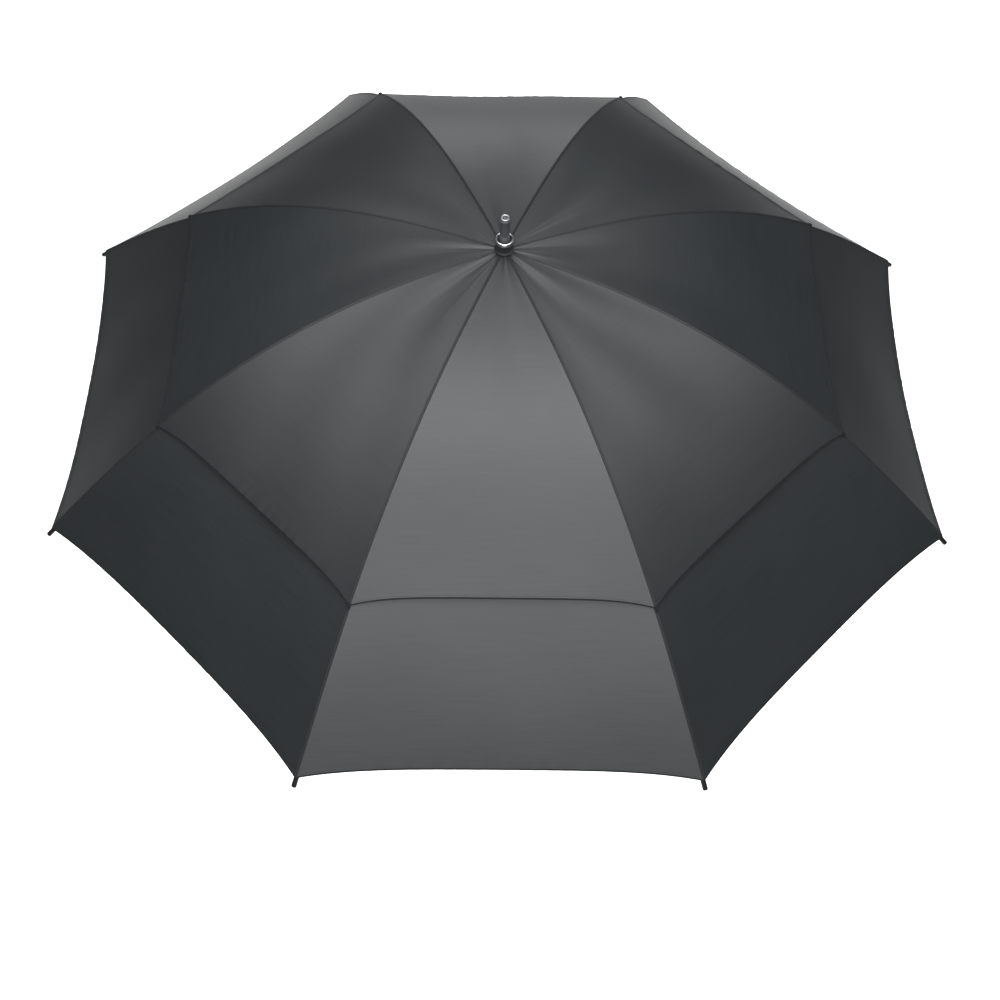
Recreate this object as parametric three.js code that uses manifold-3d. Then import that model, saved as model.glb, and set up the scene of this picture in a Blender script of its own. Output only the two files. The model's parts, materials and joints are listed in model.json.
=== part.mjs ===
// Golf umbrella: straight shaft, eight ribs and a vented double canopy, stored open.
// Millimetres, +Z up. The origin is the middle of the hand grip, on the shaft's axis.
// The front (-Y) is the middle of a canopy panel, so the ribs stand 22.5 degrees either side of it.

import * as THREE from "three";
import { mergeVertices } from "three/addons/utils/BufferGeometryUtils.js";
import Module from "manifold-3d";

const wasm = await Module();
wasm.setup();

// Driving dimensions

const RIB_COUNT = 8;
const HALF_PANEL = Math.PI / RIB_COUNT; // angle from a rib to the middle of the next panel
const RIB_LENGTH = 750; // rib pivot to the end of the plastic tip, along the rib
const TIP_DROOP = THREE.MathUtils.degToRad(43.4); // slope of the open rib at its tip
const DROOP_SHIFT = 0.8; // moves the bend of the open rib towards the notch
const STATIONS = 8; // steps along a rib, which the ribs and the canopy share

const GRIP_LENGTH = 150; // with its end cap
const GRIP_END_Z = -GRIP_LENGTH / 2;
const GRIP_RADIUS = 15.4;
const GRIP_SWELL = 1.4; // wider at both ends and narrower in the middle
const CAP_RADIUS = 16.8;
const CAP_HEIGHT = 8;
const NOTCH_Z = 865; // height of the rib pivots
const PIVOT_RADIUS = 12; // from the shaft's axis to the rib and stretcher pivots

const SHAFT_RADIUS = 7;
const SHAFT_WALL = 1.1;
const ROD_RADIUS = 2; // ribs and stretchers
const GAP = 0.3; // between pieces that touch

const CLIP_STATION = 355; // along the rib, where the stretcher takes hold
const CLIP_DEPTH = 7; // from the rib's axis down to the stretcher's pin
const FLEX_STATION = 368; // along the rib, where the outer length starts
const STRETCHER_LENGTH = 372;
const TONGUE = 2.2; // thickness of the flat ends of ribs and stretchers
const EYE_RADIUS = 3; // of a rib's flat eye at the notch
const PIN_RADIUS = 0.8;
const EYE_HOLE = PIN_RADIUS + 0.4;
const CHEEK = 1; // thickness of each of the clip's two cheeks
const CHEEK_Y = TONGUE / 2 + GAP + CHEEK / 2;
const RIB_SIDES = 6;

const TIP_CAP = 24; // length of a plastic tip
const TIP_BORE = 12; // how far the rib goes into it
const TIP_RADIUS = 3.2;

const SEAM_GAP = 0.3; // from a canopy solid's edge to the middle of the panel
const CROWN_EDGE = 8.5; // radius of the hole in the top of the canopy
const VENT_STATION = 0.69 * RIB_LENGTH; // hem of the upper canopy at a rib
const UNDER_STATION = 0.53 * RIB_LENGTH; // inner edge of the lower canopy at a rib
const HEM_STATION = RIB_LENGTH - 18; // hem of the lower canopy at a rib
const HEM_SCALLOP = 15; // how far the lower hem curves in between two ribs
const VENT_SCALLOP = 11; // the same for the upper hem
const SCALLOP_POWER = 3; // keeps a hem flat in the middle and curved near the ribs
const PANEL_SAG = 0.012; // dip of a panel's middle, as a share of its radius
const CLOTH = 1; // thickness of the cloth solids
const LOWER_LIFT = 4; // lower canopy above the rib's axis
const UPPER_LIFT = 7; // upper canopy above the rib's axis
const CROWN_LIFT = 9; // upper canopy above the rib pivots, over the notch
const CROWN_FADE = 120; // along the rib, where the upper canopy comes down to its lift
const CLOTH_COLUMNS = 4; // steps across one cloth solid

const NOTCH_RADIUS = 16;
const NOTCH_TOP = NOTCH_Z + 8;
const SLOT_WIDTH = TONGUE + 0.8; // slots for the flat ends, in the notch and the runner
const COLLAR_Z = NOTCH_Z + CROWN_LIFT + CLOTH + GAP; // underside of the collar on the canopy
const COLLAR_HEIGHT = 16;
const COLLAR_RADIUS = 13.4;
const CUP_RADIUS = 13.2;
const CUP_HEIGHT = 5;
const FERRULE_RADIUS = 6.6;
const FERRULE_TOP = COLLAR_Z + 61;
const SPIGOT = 30; // how far the ferrule reaches down into the shaft

const RUNNER_BORE = SHAFT_RADIUS + 0.4;
const SLEEVE_RADIUS = 10.2;
const SLEEVE_LENGTH = 58; // below the stretcher pivots
const RUNNER_CROWN = 15.5; // radius of the slotted crown
const SLOT_FLOOR = PIVOT_RADIUS - ROD_RADIUS - 0.5; // radius at the bottom of the crown's slots
const KEYWAY_RADIUS = 9.1; // groove in the bore that passes over the catches
const BUTTON_DROP = 26; // from the stretcher pivots down to the middle of the button
const BUTTON_HEIGHT = 18;
const BUTTON_WIDTH = 5.6;
const BUTTON_FACE = 13.6; // radius of its outer face

const CATCH_NOSE = 8.7; // radius that a released catch reaches
const CATCH_WIDTH = 2;
const CATCH_SLOT = 2.6; // width of the shaft's slot for it
const CATCH_LENGTH = 16; // pivot to nose
const CLOSED_LEAN = THREE.MathUtils.degToRad(88); // slope of the line of pivots, umbrella closed

const quarterTurn = Math.PI / 2;

// Looks

const look = (color, roughness, metalness) =>
  new THREE.MeshStandardMaterial({ color, roughness, metalness });

const canopyCloth = () => look(0x4a4c50, 0.62, 0);
const blackPlastic = () => look(0x17181a, 0.45, 0);
const gunmetal = () => look(0x55585c, 0.35, 0.9);
const chrome = () => look(0xd8dadd, 0.12, 1);
const fibreglass = () => look(0x1c1d20, 0.3, 0.1);
const blackSteel = () => look(0x2a2b2e, 0.35, 0.9);
const springSteel = () => look(0x9a9da1, 0.3, 1);
const foam = () => look(0x1e1e20, 0.9, 0);

// Solids: joining, cutting and the few basic shapes

function toSolid(geometry) {
  const bare = geometry.clone();
  bare.deleteAttribute("normal");
  bare.deleteAttribute("uv");
  const merged = mergeVertices(bare, 1e-4);
  const mesh = new wasm.Mesh({
    numProp: 3,
    vertProperties: new Float32Array(merged.attributes.position.array),
    triVerts: new Uint32Array(merged.index.array),
  });
  return new wasm.Manifold(mesh);
}

function toGeometry(solid) {
  const mesh = solid.getMesh();
  const geometry = new THREE.BufferGeometry();
  geometry.setAttribute("position", new THREE.BufferAttribute(mesh.vertProperties, 3));
  geometry.setIndex(new THREE.BufferAttribute(mesh.triVerts, 1));
  geometry.computeVertexNormals();
  return geometry;
}

function join(...geometries) {
  const solids = geometries.map(toSolid);
  return toGeometry(solids.reduce((whole, piece) => whole.add(piece)));
}

function cut(geometry, ...tools) {
  const solids = tools.map(toSolid);
  return toGeometry(solids.reduce((whole, tool) => whole.subtract(tool), toSolid(geometry)));
}

function named(name, geometry, material) {
  const mesh = new THREE.Mesh(geometry, material);
  mesh.name = name;
  return mesh;
}

// A solid of revolution about Z, from [radius, z] pairs that go up the outside
function turned(profile, segments = 24) {
  const points = profile.map(([radius, z]) => new THREE.Vector2(radius, z));
  return new THREE.LatheGeometry(points, segments).rotateX(Math.PI / 2);
}

function ring(inner, outer, bottom, top, segments = 24) {
  const profile = [[inner, bottom], [outer, bottom], [outer, top], [inner, top], [inner, bottom]];
  return turned(profile, segments);
}

// A box given by its span along X and Z, centred on Y
function slab(x0, x1, width, z0, z1) {
  return new THREE.BoxGeometry(x1 - x0, width, z1 - z0).translate((x0 + x1) / 2, 0, (z0 + z1) / 2);
}

// A pin along Y, the direction of every hinge in a rib's own frame; at is (x, z)
function pin(radius, length, at, sides = 8) {
  return new THREE.CylinderGeometry(radius, radius, length, sides).translate(at.x, 0, at.y);
}

// A flat plate in the XZ plane, rounded about two points and centred on y
function plate(start, end, radius, thickness, y = 0) {
  const heading = Math.atan2(end.y - start.y, end.x - start.x);
  const shape = new THREE.Shape();
  shape.absarc(end.x, end.y, radius, heading - quarterTurn, heading + quarterTurn, false);
  shape.absarc(start.x, start.y, radius, heading + quarterTurn, heading + 3 * quarterTurn, false);
  return extruded(shape, thickness, y);
}

function extruded(shape, thickness, y = 0) {
  const settings = { depth: thickness, bevelEnabled: false, curveSegments: 3 };
  const geometry = new THREE.ExtrudeGeometry(shape, settings);
  return geometry.rotateX(quarterTurn).translate(0, y + thickness / 2, 0);
}

// Rib line: the open rib in its own vertical plane, as (x outwards, y up)

function ribSlope(station) {
  const t = Math.pow(Math.max(station, 0) / RIB_LENGTH, DROOP_SHIFT);
  return TIP_DROOP * (3 * t * t - 2 * t * t * t);
}

function ribPoint(station, lift = 0) {
  const steps = 60;
  const step = station / steps;
  const point = new THREE.Vector2(PIVOT_RADIUS, NOTCH_Z);
  for (let i = 0; i < steps; i += 1) {
    const slope = ribSlope((i + 0.5) * step);
    point.x += Math.cos(slope) * step;
    point.y -= Math.sin(slope) * step;
  }
  const slope = ribSlope(station);
  point.x += Math.sin(slope) * lift;
  point.y += Math.cos(slope) * lift;
  return point;
}

// Stations from one place on the rib to another, through the shared ones between them
function stationsBetween(from, to) {
  const shortest = 30;
  const list = [from];
  for (let i = 0; i <= STATIONS; i += 1) {
    const station = (i * RIB_LENGTH) / STATIONS;
    if (station > from + shortest && station < to - shortest) list.push(station);
  }
  list.push(to);
  return list;
}

const ribPin = new THREE.Vector2(PIVOT_RADIUS, NOTCH_Z);
const clipPin = ribPoint(CLIP_STATION, -CLIP_DEPTH);
const flexPin = ribPoint(FLEX_STATION);
const stretcherDrop = Math.sqrt(STRETCHER_LENGTH ** 2 - (clipPin.x - PIVOT_RADIUS) ** 2);
const RUNNER_Z = clipPin.y - stretcherDrop; // height of the stretcher pivots, umbrella open
const runnerPin = new THREE.Vector2(PIVOT_RADIUS, RUNNER_Z);

// How far the runner slides from open to closed, where rib and stretcher lie along the shaft
function closedTravel() {
  const pivotLine = clipPin.distanceTo(ribPin);
  const stretcherLean = Math.acos((pivotLine * Math.cos(CLOSED_LEAN)) / STRETCHER_LENGTH);
  const closedDrop = pivotLine * Math.sin(CLOSED_LEAN) + STRETCHER_LENGTH * Math.sin(stretcherLean);
  return closedDrop - (NOTCH_Z - RUNNER_Z);
}

// A stack of equal loops of points, joined into a closed solid. Each loop has an even number of
// points and runs over the top and back underneath, so strips across it close the two ends.
function closedStack(positions, loops, sides) {
  const index = [];
  for (let loop = 0; loop < loops - 1; loop += 1) {
    for (let side = 0; side < sides; side += 1) {
      const a = loop * sides + side;
      const b = loop * sides + ((side + 1) % sides);
      index.push(a, b, a + sides, b, b + sides, a + sides);
    }
  }
  const last = (loops - 1) * sides;
  for (let a = 0; a < sides / 2 - 1; a += 1) {
    const b = a + 1;
    const d = sides - 1 - a;
    const c = d - 1;
    index.push(a, c, b, a, d, c);
    index.push(last + a, last + b, last + c, last + a, last + c, last + d);
  }
  const geometry = new THREE.BufferGeometry();
  geometry.setAttribute("position", new THREE.Float32BufferAttribute(positions, 3));
  geometry.setIndex(index);
  return geometry;
}

// A rod along part of the rib, with a section that stays square to the rib
function rod(from, to, radiusAt) {
  const stations = stationsBetween(from, to);
  const positions = [];
  stations.forEach((station) => {
    const radius = radiusAt(station);
    for (let side = 0; side < RIB_SIDES; side += 1) {
      const angle = (2 * Math.PI * (side + 0.5)) / RIB_SIDES;
      const point = ribPoint(station, Math.sin(angle) * radius);
      positions.push(point.x, Math.cos(angle) * radius, point.y);
    }
  });
  return closedStack(positions, stations.length, RIB_SIDES);
}

// Ribs, each in two lengths that meet at the clip

// Inner length: flat eye at the notch, rod, and the forked clip with its two pins
function innerRib() {
  const clipWidth = 2 * CHEEK_Y + CHEEK;
  const flatLength = 14;
  const socketStart = CLIP_STATION - 26;
  const socketEnd = CLIP_STATION - 10;
  const tongue = plate(ribPin, ribPoint(flatLength), EYE_RADIUS, TONGUE);
  const arm = rod(flatLength - 5, socketEnd - 2, () => ROD_RADIUS);
  const socket = rod(socketStart, socketEnd, () => clipWidth / 2 + GAP);
  const cheeks = [-CHEEK_Y, CHEEK_Y].flatMap((y) => [
    plate(ribPoint(socketEnd - 4), flexPin, 2.8, CHEEK, y),
    plate(ribPoint(CLIP_STATION - 4), clipPin, 3.2, CHEEK, y),
  ]);
  const pins = [clipPin, flexPin].map((at) => pin(PIN_RADIUS, clipWidth - CHEEK, at));
  return cut(join(arm, tongue, socket, ...cheeks, ...pins), pin(EYE_HOLE, 2 * TONGUE, ribPin));
}

// Outer length: flat eye on the clip's upper pin, then a rod that thins towards the tip
function outerRib() {
  const slimmest = 0.75;
  const end = RIB_LENGTH - TIP_CAP + TIP_BORE;
  const thinning = (station) => {
    const share = (station - FLEX_STATION) / (end - FLEX_STATION);
    return ROD_RADIUS * THREE.MathUtils.lerp(1, slimmest, share);
  };
  const tongue = plate(flexPin, ribPoint(FLEX_STATION + 12), ROD_RADIUS, TONGUE);
  const arm = rod(FLEX_STATION + 8, end, thinning);
  return cut(join(arm, tongue), pin(EYE_HOLE, 2 * TONGUE, flexPin));
}

// Plastic tip: a bored cap with a rounded nose, and a groove where the canopy is sewn to it
function ribTip() {
  const bore = ROD_RADIUS;
  const floor = TIP_BORE + GAP;
  const profile = [
    [bore, 0],
    [TIP_RADIUS, 0],
    [TIP_RADIUS, 3],
    [TIP_RADIUS - 0.4, 4],
    [TIP_RADIUS, TIP_CAP - 4],
    [TIP_RADIUS * 0.75, TIP_CAP - 1],
    [0, TIP_CAP],
    [0, floor],
    [bore, floor],
    [bore, 0],
  ];
  const base = ribPoint(RIB_LENGTH - TIP_CAP);
  const end = ribPoint(RIB_LENGTH);
  const heading = Math.atan2(end.x - base.x, end.y - base.y);
  return turned(profile, 8).rotateY(heading).translate(base.x, 0, base.y);
}

// Stretcher: an eye on the clip's lower pin, a rod, and a flat end in the runner's crown
function stretcher() {
  const flatLength = 14;
  const along = new THREE.Vector2().subVectors(runnerPin, clipPin).normalize();
  const from = (point, distance) => point.clone().addScaledVector(along, distance);
  const middle = new THREE.Vector2().addVectors(clipPin, runnerPin).multiplyScalar(0.5);
  const arm = new THREE.CylinderGeometry(ROD_RADIUS, ROD_RADIUS, STRETCHER_LENGTH - 1.5 * flatLength, 6)
    .rotateX(quarterTurn)
    .rotateY(Math.atan2(along.x, along.y))
    .translate(middle.x, 0, middle.y);
  const outer = plate(clipPin, from(clipPin, flatLength), 2.4, TONGUE);
  const inner = plate(from(runnerPin, -flatLength), from(runnerPin, -1.4), ROD_RADIUS, TONGUE);
  return cut(join(arm, outer, inner), pin(EYE_HOLE, 2 * TONGUE, clipPin));
}

// Canopy: one solid for each rib, from the middle of one panel to the middle of the next.
// side runs from -1 to 1, and is 0 at the rib and 1 in the middle of a panel.

function scallop(depth, side) {
  return depth * (1 - Math.pow(1 - Math.abs(side), SCALLOP_POWER));
}

// A panel is stretched straight from rib to rib, and dips a little between them
function clothPoint(station, side, lift) {
  const reach = Math.abs(side);
  const base = ribPoint(station);
  const slope = ribSlope(station);
  const dip = PANEL_SAG * base.x * (1 - (1 - reach) ** 2);
  const rise = lift - dip;
  const turn = HALF_PANEL * reach;
  const across = base.x * Math.sin(HALF_PANEL) - SEAM_GAP; // from the rib to the middle of the panel
  const outwards = base.x - reach * across * Math.sin(HALF_PANEL);
  const aside = reach * across * Math.cos(HALF_PANEL);
  return [
    outwards + Math.sin(slope) * Math.cos(turn) * rise,
    Math.sign(side) * (aside + Math.sin(slope) * Math.sin(turn) * rise),
    base.y + Math.cos(slope) * rise,
  ];
}

// A closed sheet over rows of stations, with its hem scalloped between the ribs
function clothLeaf(from, to, depth, liftAt) {
  const stations = stationsBetween(from, to);
  const sides = 2 * (CLOTH_COLUMNS + 1);
  const positions = [];
  stations.forEach((station, row) => {
    const last = row === stations.length - 1;
    for (let step = 0; step < sides; step += 1) {
      const over = step <= CLOTH_COLUMNS;
      const column = over ? step : sides - 1 - step;
      const side = 1 - (2 * column) / CLOTH_COLUMNS;
      const place = last ? station - scallop(depth, side) : station;
      positions.push(...clothPoint(place, side, liftAt(place) + (over ? CLOTH : 0)));
    }
  });
  return closedStack(positions, stations.length, sides);
}

function upperCanopy() {
  const liftAt = (station) =>
    CROWN_LIFT + (UPPER_LIFT - CROWN_LIFT) * THREE.MathUtils.smoothstep(station, 0, CROWN_FADE);
  return clothLeaf(CROWN_EDGE - PIVOT_RADIUS, VENT_STATION, VENT_SCALLOP, liftAt);
}

function lowerCanopy() {
  return clothLeaf(UNDER_STATION, HEM_STATION, HEM_SCALLOP, () => LOWER_LIFT);
}

// Shaft and what is fixed to it

const shaftTop = COLLAR_Z + COLLAR_HEIGHT / 2;
const shaftInside = SHAFT_RADIUS - SHAFT_WALL;

// Heights of the two catches: each stands behind the button when the runner is at that end
const topCatchZ = RUNNER_Z - BUTTON_DROP;
const bottomCatchZ = topCatchZ - closedTravel();

function shaft() {
  const tube = ring(shaftInside, SHAFT_RADIUS, GRIP_END_Z + CAP_HEIGHT + GAP, shaftTop);
  const slots = [topCatchZ, bottomCatchZ].map((z) =>
    slab(0, 2 * SHAFT_RADIUS, CATCH_SLOT, z - CATCH_LENGTH - 2, z + 5).rotateZ(-quarterTurn),
  );
  return cut(tube, ...slots);
}

// Spring catch: a bent leaf in the shaft's slot, with its nose standing out at the top
function springCatch(z) {
  const shape = new THREE.Shape();
  const root = shaftInside - 2.4;
  shape.moveTo(root, z - CATCH_LENGTH);
  shape.lineTo(root + 1.6, z - CATCH_LENGTH);
  shape.lineTo(CATCH_NOSE, z + 1);
  shape.lineTo(CATCH_NOSE, z + 3);
  shape.lineTo(root + 1, z + 3);
  shape.lineTo(root, z);
  return extruded(shape, CATCH_WIDTH).rotateZ(-quarterTurn);
}

// Notch: the slotted head that the ribs are threaded to
function notch() {
  const body = ring(SHAFT_RADIUS + GAP, NOTCH_RADIUS, NOTCH_Z - 6, NOTCH_TOP);
  const slotFloor = PIVOT_RADIUS - EYE_RADIUS - 0.6;
  const slots = eightTimes((turn) =>
    slab(slotFloor, NOTCH_RADIUS + 2, SLOT_WIDTH, NOTCH_Z - 8, NOTCH_Z + EYE_RADIUS + 0.6).rotateZ(turn),
  );
  const channel = wire(PIN_RADIUS + GAP);
  return cut(body, ...slots, channel);
}

function wire(thickness) {
  return new THREE.TorusGeometry(PIVOT_RADIUS, thickness, 5, 24).translate(0, 0, NOTCH_Z);
}

function ferrule() {
  const bore = 3;
  const boreDepth = 14;
  const rim = 0.9;
  const spigot = shaftInside - GAP;
  return turned([
    [0, shaftTop - SPIGOT],
    [spigot, shaftTop - SPIGOT],
    [spigot, shaftTop + GAP],
    [FERRULE_RADIUS, shaftTop + GAP],
    [FERRULE_RADIUS, FERRULE_TOP - 4],
    [FERRULE_RADIUS - rim, FERRULE_TOP - 3],
    [FERRULE_RADIUS - rim, FERRULE_TOP - 1],
    [FERRULE_RADIUS - 2 * rim, FERRULE_TOP],
    [bore, FERRULE_TOP],
    [bore, FERRULE_TOP - boreDepth],
    [0, FERRULE_TOP - boreDepth],
  ]);
}

// Chrome dish that the ferrule stands in
function ferruleCup() {
  const bottom = COLLAR_Z + COLLAR_HEIGHT + GAP;
  const inner = FERRULE_RADIUS + GAP;
  return turned([
    [inner, bottom],
    [CUP_RADIUS - 2.4, bottom],
    [CUP_RADIUS - 0.7, bottom + 1.4],
    [CUP_RADIUS, bottom + 3.2],
    [CUP_RADIUS - 0.4, bottom + CUP_HEIGHT],
    [CUP_RADIUS - 1.4, bottom + CUP_HEIGHT],
    [CUP_RADIUS - 3, bottom + 2.6],
    [inner, bottom + 2],
    [inner, bottom],
  ]);
}

// Collar that clamps the top of the canopy down on the notch
function ferruleCollar() {
  const inner = SHAFT_RADIUS + GAP;
  return turned([
    [inner, COLLAR_Z],
    [COLLAR_RADIUS, COLLAR_Z],
    [COLLAR_RADIUS, COLLAR_Z + 3],
    [COLLAR_RADIUS - 0.8, COLLAR_Z + 4],
    [COLLAR_RADIUS - 1.6, COLLAR_Z + COLLAR_HEIGHT],
    [inner, COLLAR_Z + COLLAR_HEIGHT],
    [inner, COLLAR_Z],
  ]);
}

function handleGrip() {
  const bottom = GRIP_END_Z + CAP_HEIGHT + GAP;
  const top = GRIP_END_Z + GRIP_LENGTH;
  const inner = SHAFT_RADIUS + GAP;
  const steps = 8;
  const profile = [[inner, bottom]];
  for (let i = 0; i <= steps; i += 1) {
    const t = i / steps;
    const swell = GRIP_SWELL * Math.cos(2 * Math.PI * t);
    profile.push([GRIP_RADIUS + swell, THREE.MathUtils.lerp(bottom, top - 8, t)]);
  }
  profile.push([GRIP_RADIUS - 0.8, top - 2.5], [inner + 4.7, top], [inner, top], [inner, bottom]);
  return turned(profile);
}

function handleCap() {
  return turned([
    [0, GRIP_END_Z],
    [CAP_RADIUS - 2.2, GRIP_END_Z],
    [CAP_RADIUS - 0.4, GRIP_END_Z + 1.8],
    [CAP_RADIUS, GRIP_END_Z + CAP_HEIGHT],
    [0, GRIP_END_Z + CAP_HEIGHT],
  ]);
}

// Runner: a sleeve with a slotted crown, a keyway over the catches and a window for the button
function runner() {
  const bottom = RUNNER_Z - SLEEVE_LENGTH;
  const top = RUNNER_Z + 5;
  const body = turned([
    [RUNNER_BORE, bottom],
    [SLEEVE_RADIUS - 0.6, bottom],
    [SLEEVE_RADIUS, bottom + 1],
    [SLEEVE_RADIUS, RUNNER_Z - 12],
    [RUNNER_CROWN, RUNNER_Z - 6],
    [RUNNER_CROWN, top - 1],
    [RUNNER_CROWN - 1, top],
    [RUNNER_BORE, top],
    [RUNNER_BORE, bottom],
  ]);
  const slots = eightTimes((turn) =>
    slab(SLOT_FLOOR, RUNNER_CROWN + 2, SLOT_WIDTH, RUNNER_Z - 14, top + 1).rotateZ(turn),
  );
  const keyway = slab(0, KEYWAY_RADIUS, CATCH_SLOT, bottom - 1, top + 1).rotateZ(-quarterTurn);
  const half = BUTTON_HEIGHT / 2 + GAP;
  const middle = RUNNER_Z - BUTTON_DROP;
  const window = slab(
    0, 2 * SLEEVE_RADIUS, BUTTON_WIDTH + 2 * GAP, middle - half, middle + half,
  ).rotateZ(-quarterTurn);
  return cut(body, ...slots, keyway, window);
}

// Thumb button: its back lies close to the catch, and its face stands out of the sleeve
function runnerButton() {
  const middle = RUNNER_Z - BUTTON_DROP;
  const half = BUTTON_HEIGHT / 2;
  const back = KEYWAY_RADIUS + 0.2;
  const shape = new THREE.Shape();
  shape.moveTo(back, middle - half);
  shape.lineTo(BUTTON_FACE - 1.6, middle - half);
  shape.lineTo(BUTTON_FACE, middle - half + 3);
  shape.lineTo(BUTTON_FACE, middle + half - 3);
  shape.lineTo(BUTTON_FACE - 1.6, middle + half);
  shape.lineTo(back, middle + half);
  return extruded(shape, BUTTON_WIDTH).rotateZ(-quarterTurn);
}

// Angle about Z of each rib, counted from the rib just right of the front
function ribTurn(i) {
  return -quarterTurn + HALF_PANEL * (2 * i + 1);
}

function eightTimes(make) {
  return Array.from({ length: RIB_COUNT }, (_, i) => make(ribTurn(i)));
}

// The umbrella

const umbrella = new THREE.Group();

umbrella.add(
  named("shaft", shaft(), blackSteel()),
  named("top_catch", springCatch(topCatchZ), springSteel()),
  named("bottom_catch", springCatch(bottomCatchZ), springSteel()),
  named("notch", notch(), blackPlastic()),
  named("notch_ring", wire(PIN_RADIUS), springSteel()),
  named("ferrule", ferrule(), gunmetal()),
  named("ferrule_cup", ferruleCup(), chrome()),
  named("ferrule_collar", ferruleCollar(), blackPlastic()),
  named("handle_grip", handleGrip(), foam()),
  named("handle_cap", handleCap(), blackPlastic()),
  named("runner", runner(), blackPlastic()),
  named("runner_button", runnerButton(), blackPlastic()),
);

for (let i = 0; i < RIB_COUNT; i += 1) {
  const arm = new THREE.Group();
  arm.rotation.z = ribTurn(i);
  arm.add(
    named(`inner_rib_${i + 1}`, innerRib(), fibreglass()),
    named(`outer_rib_${i + 1}`, outerRib(), fibreglass()),
    named(`rib_tip_${i + 1}`, ribTip(), blackPlastic()),
    named(`stretcher_${i + 1}`, stretcher(), blackSteel()),
    named(`upper_canopy_${i + 1}`, upperCanopy(), canopyCloth()),
    named(`lower_canopy_${i + 1}`, lowerCanopy(), canopyCloth()),
  );
  umbrella.add(arm);
}

export default umbrella;
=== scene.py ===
"""Golf umbrella, stored open. Metres, +Z up, with the origin in the middle of the hand grip.

The frame holds the shaft, ribs, stretchers and runner. This script adds the canopy, as cloth leaves that
run from a rib to the middle of a panel, with their hems, stitching and rib seams, then the ferrule, tips
and grip in their finished shape, the materials, and a plain studio.
"""

import json
import math

import bpy
import numpy as np
from mathutils import Matrix, Vector


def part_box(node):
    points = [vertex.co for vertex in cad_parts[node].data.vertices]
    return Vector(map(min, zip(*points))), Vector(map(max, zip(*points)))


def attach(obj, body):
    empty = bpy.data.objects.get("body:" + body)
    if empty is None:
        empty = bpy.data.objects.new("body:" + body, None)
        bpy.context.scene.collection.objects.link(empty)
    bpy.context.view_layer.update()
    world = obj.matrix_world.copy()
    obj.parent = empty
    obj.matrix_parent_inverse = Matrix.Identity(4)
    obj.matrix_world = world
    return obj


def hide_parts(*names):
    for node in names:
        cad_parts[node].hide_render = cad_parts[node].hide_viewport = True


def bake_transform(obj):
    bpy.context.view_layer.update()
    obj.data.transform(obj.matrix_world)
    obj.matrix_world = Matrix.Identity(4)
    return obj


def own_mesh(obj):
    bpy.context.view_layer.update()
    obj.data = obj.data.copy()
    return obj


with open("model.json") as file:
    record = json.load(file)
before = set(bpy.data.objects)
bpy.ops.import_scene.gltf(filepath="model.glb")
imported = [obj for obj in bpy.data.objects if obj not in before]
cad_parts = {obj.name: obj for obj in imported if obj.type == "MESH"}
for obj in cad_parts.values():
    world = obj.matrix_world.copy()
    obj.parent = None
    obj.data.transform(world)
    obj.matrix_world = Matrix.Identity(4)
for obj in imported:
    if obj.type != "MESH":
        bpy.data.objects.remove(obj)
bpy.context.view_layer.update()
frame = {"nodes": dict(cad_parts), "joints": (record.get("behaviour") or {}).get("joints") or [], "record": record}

JOINTS = {joint["name"]: joint for joint in frame["joints"]}
RATIOS = {c["joint"]: c["ratio"] for c in frame["record"]["behaviour"]["couplings"]}

# The open rib, as the frame has it: a line in its own upright plane that droops towards the tip

RIB_COUNT = 8
HALF_PANEL = math.pi / RIB_COUNT
RIB_LENGTH = 0.750
TIP_DROOP = math.radians(43.4)  # slope of the rib at its tip
DROOP_SHIFT = 0.8  # below 1, the rib bends more near the shaft
PIVOT_RADIUS = math.hypot(*JOINTS["rib_fold_1"]["pos_m"][:2])
NOTCH_Z = JOINTS["rib_fold_1"]["pos_m"][2]
FLEX_STATION = 0.368  # along the rib, where its outer length hinges on the clip
TRAVEL = -JOINTS["runner_slide"]["range_m"][0]
INNER_TURN = -RATIOS["rib_fold_1"] * TRAVEL  # how far the inner length of a rib turns down to close
OUTER_TURN = INNER_TURN - RATIOS["rib_flex_1"] * TRAVEL

# Cloth: stations are distances along the rib

CLOTH = 0.0005  # thickness
CROWN_EDGE = -0.0035
CROWN_JOIN = 0.026
VENT_STATION = 0.5085  # hem of the upper canopy
UNDER_STATION = 0.3975  # top edge of the lower canopy, hidden by the upper one
HEM_STATION = 0.7365  # hem of the lower canopy
VENT_SCALLOP = 0.011  # how far a hem curves in between two ribs
HEM_SCALLOP = 0.0095
SCALLOP_POWER = 5  # keeps a hem straight in the middle and curved near the ribs
PANEL_SAG = 0.012  # dip of a panel's middle, as a share of its distance from the shaft
BILLOW_START = 0.30
VENT_BILLOW = 0.006  # how far the upper hem stands out in the middle of a panel
LOWER_DROP = 0.004  # how far the lower hem is drawn in there
CROWN_LIFT = 0.0095  # height of the cloth above the rib's line at the crown
UPPER_LIFT = 0.0075
LOWER_LIFT = 0.0045
CROWN_FADE = 0.120  # along the rib, where the upper canopy comes down from the crown's lift
COLUMNS = 48  # across half a panel
ROW_STEP = 0.0095
CROWN_ROWS = 12
CROWN_WEAVE = 0.02  # half its width, as the weave is laid on it
CROWN_SEAM_START = 0.001
NORMAL_STEP = 2e-4  # for measuring the cloth's slope

# Folds in the cloth

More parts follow.
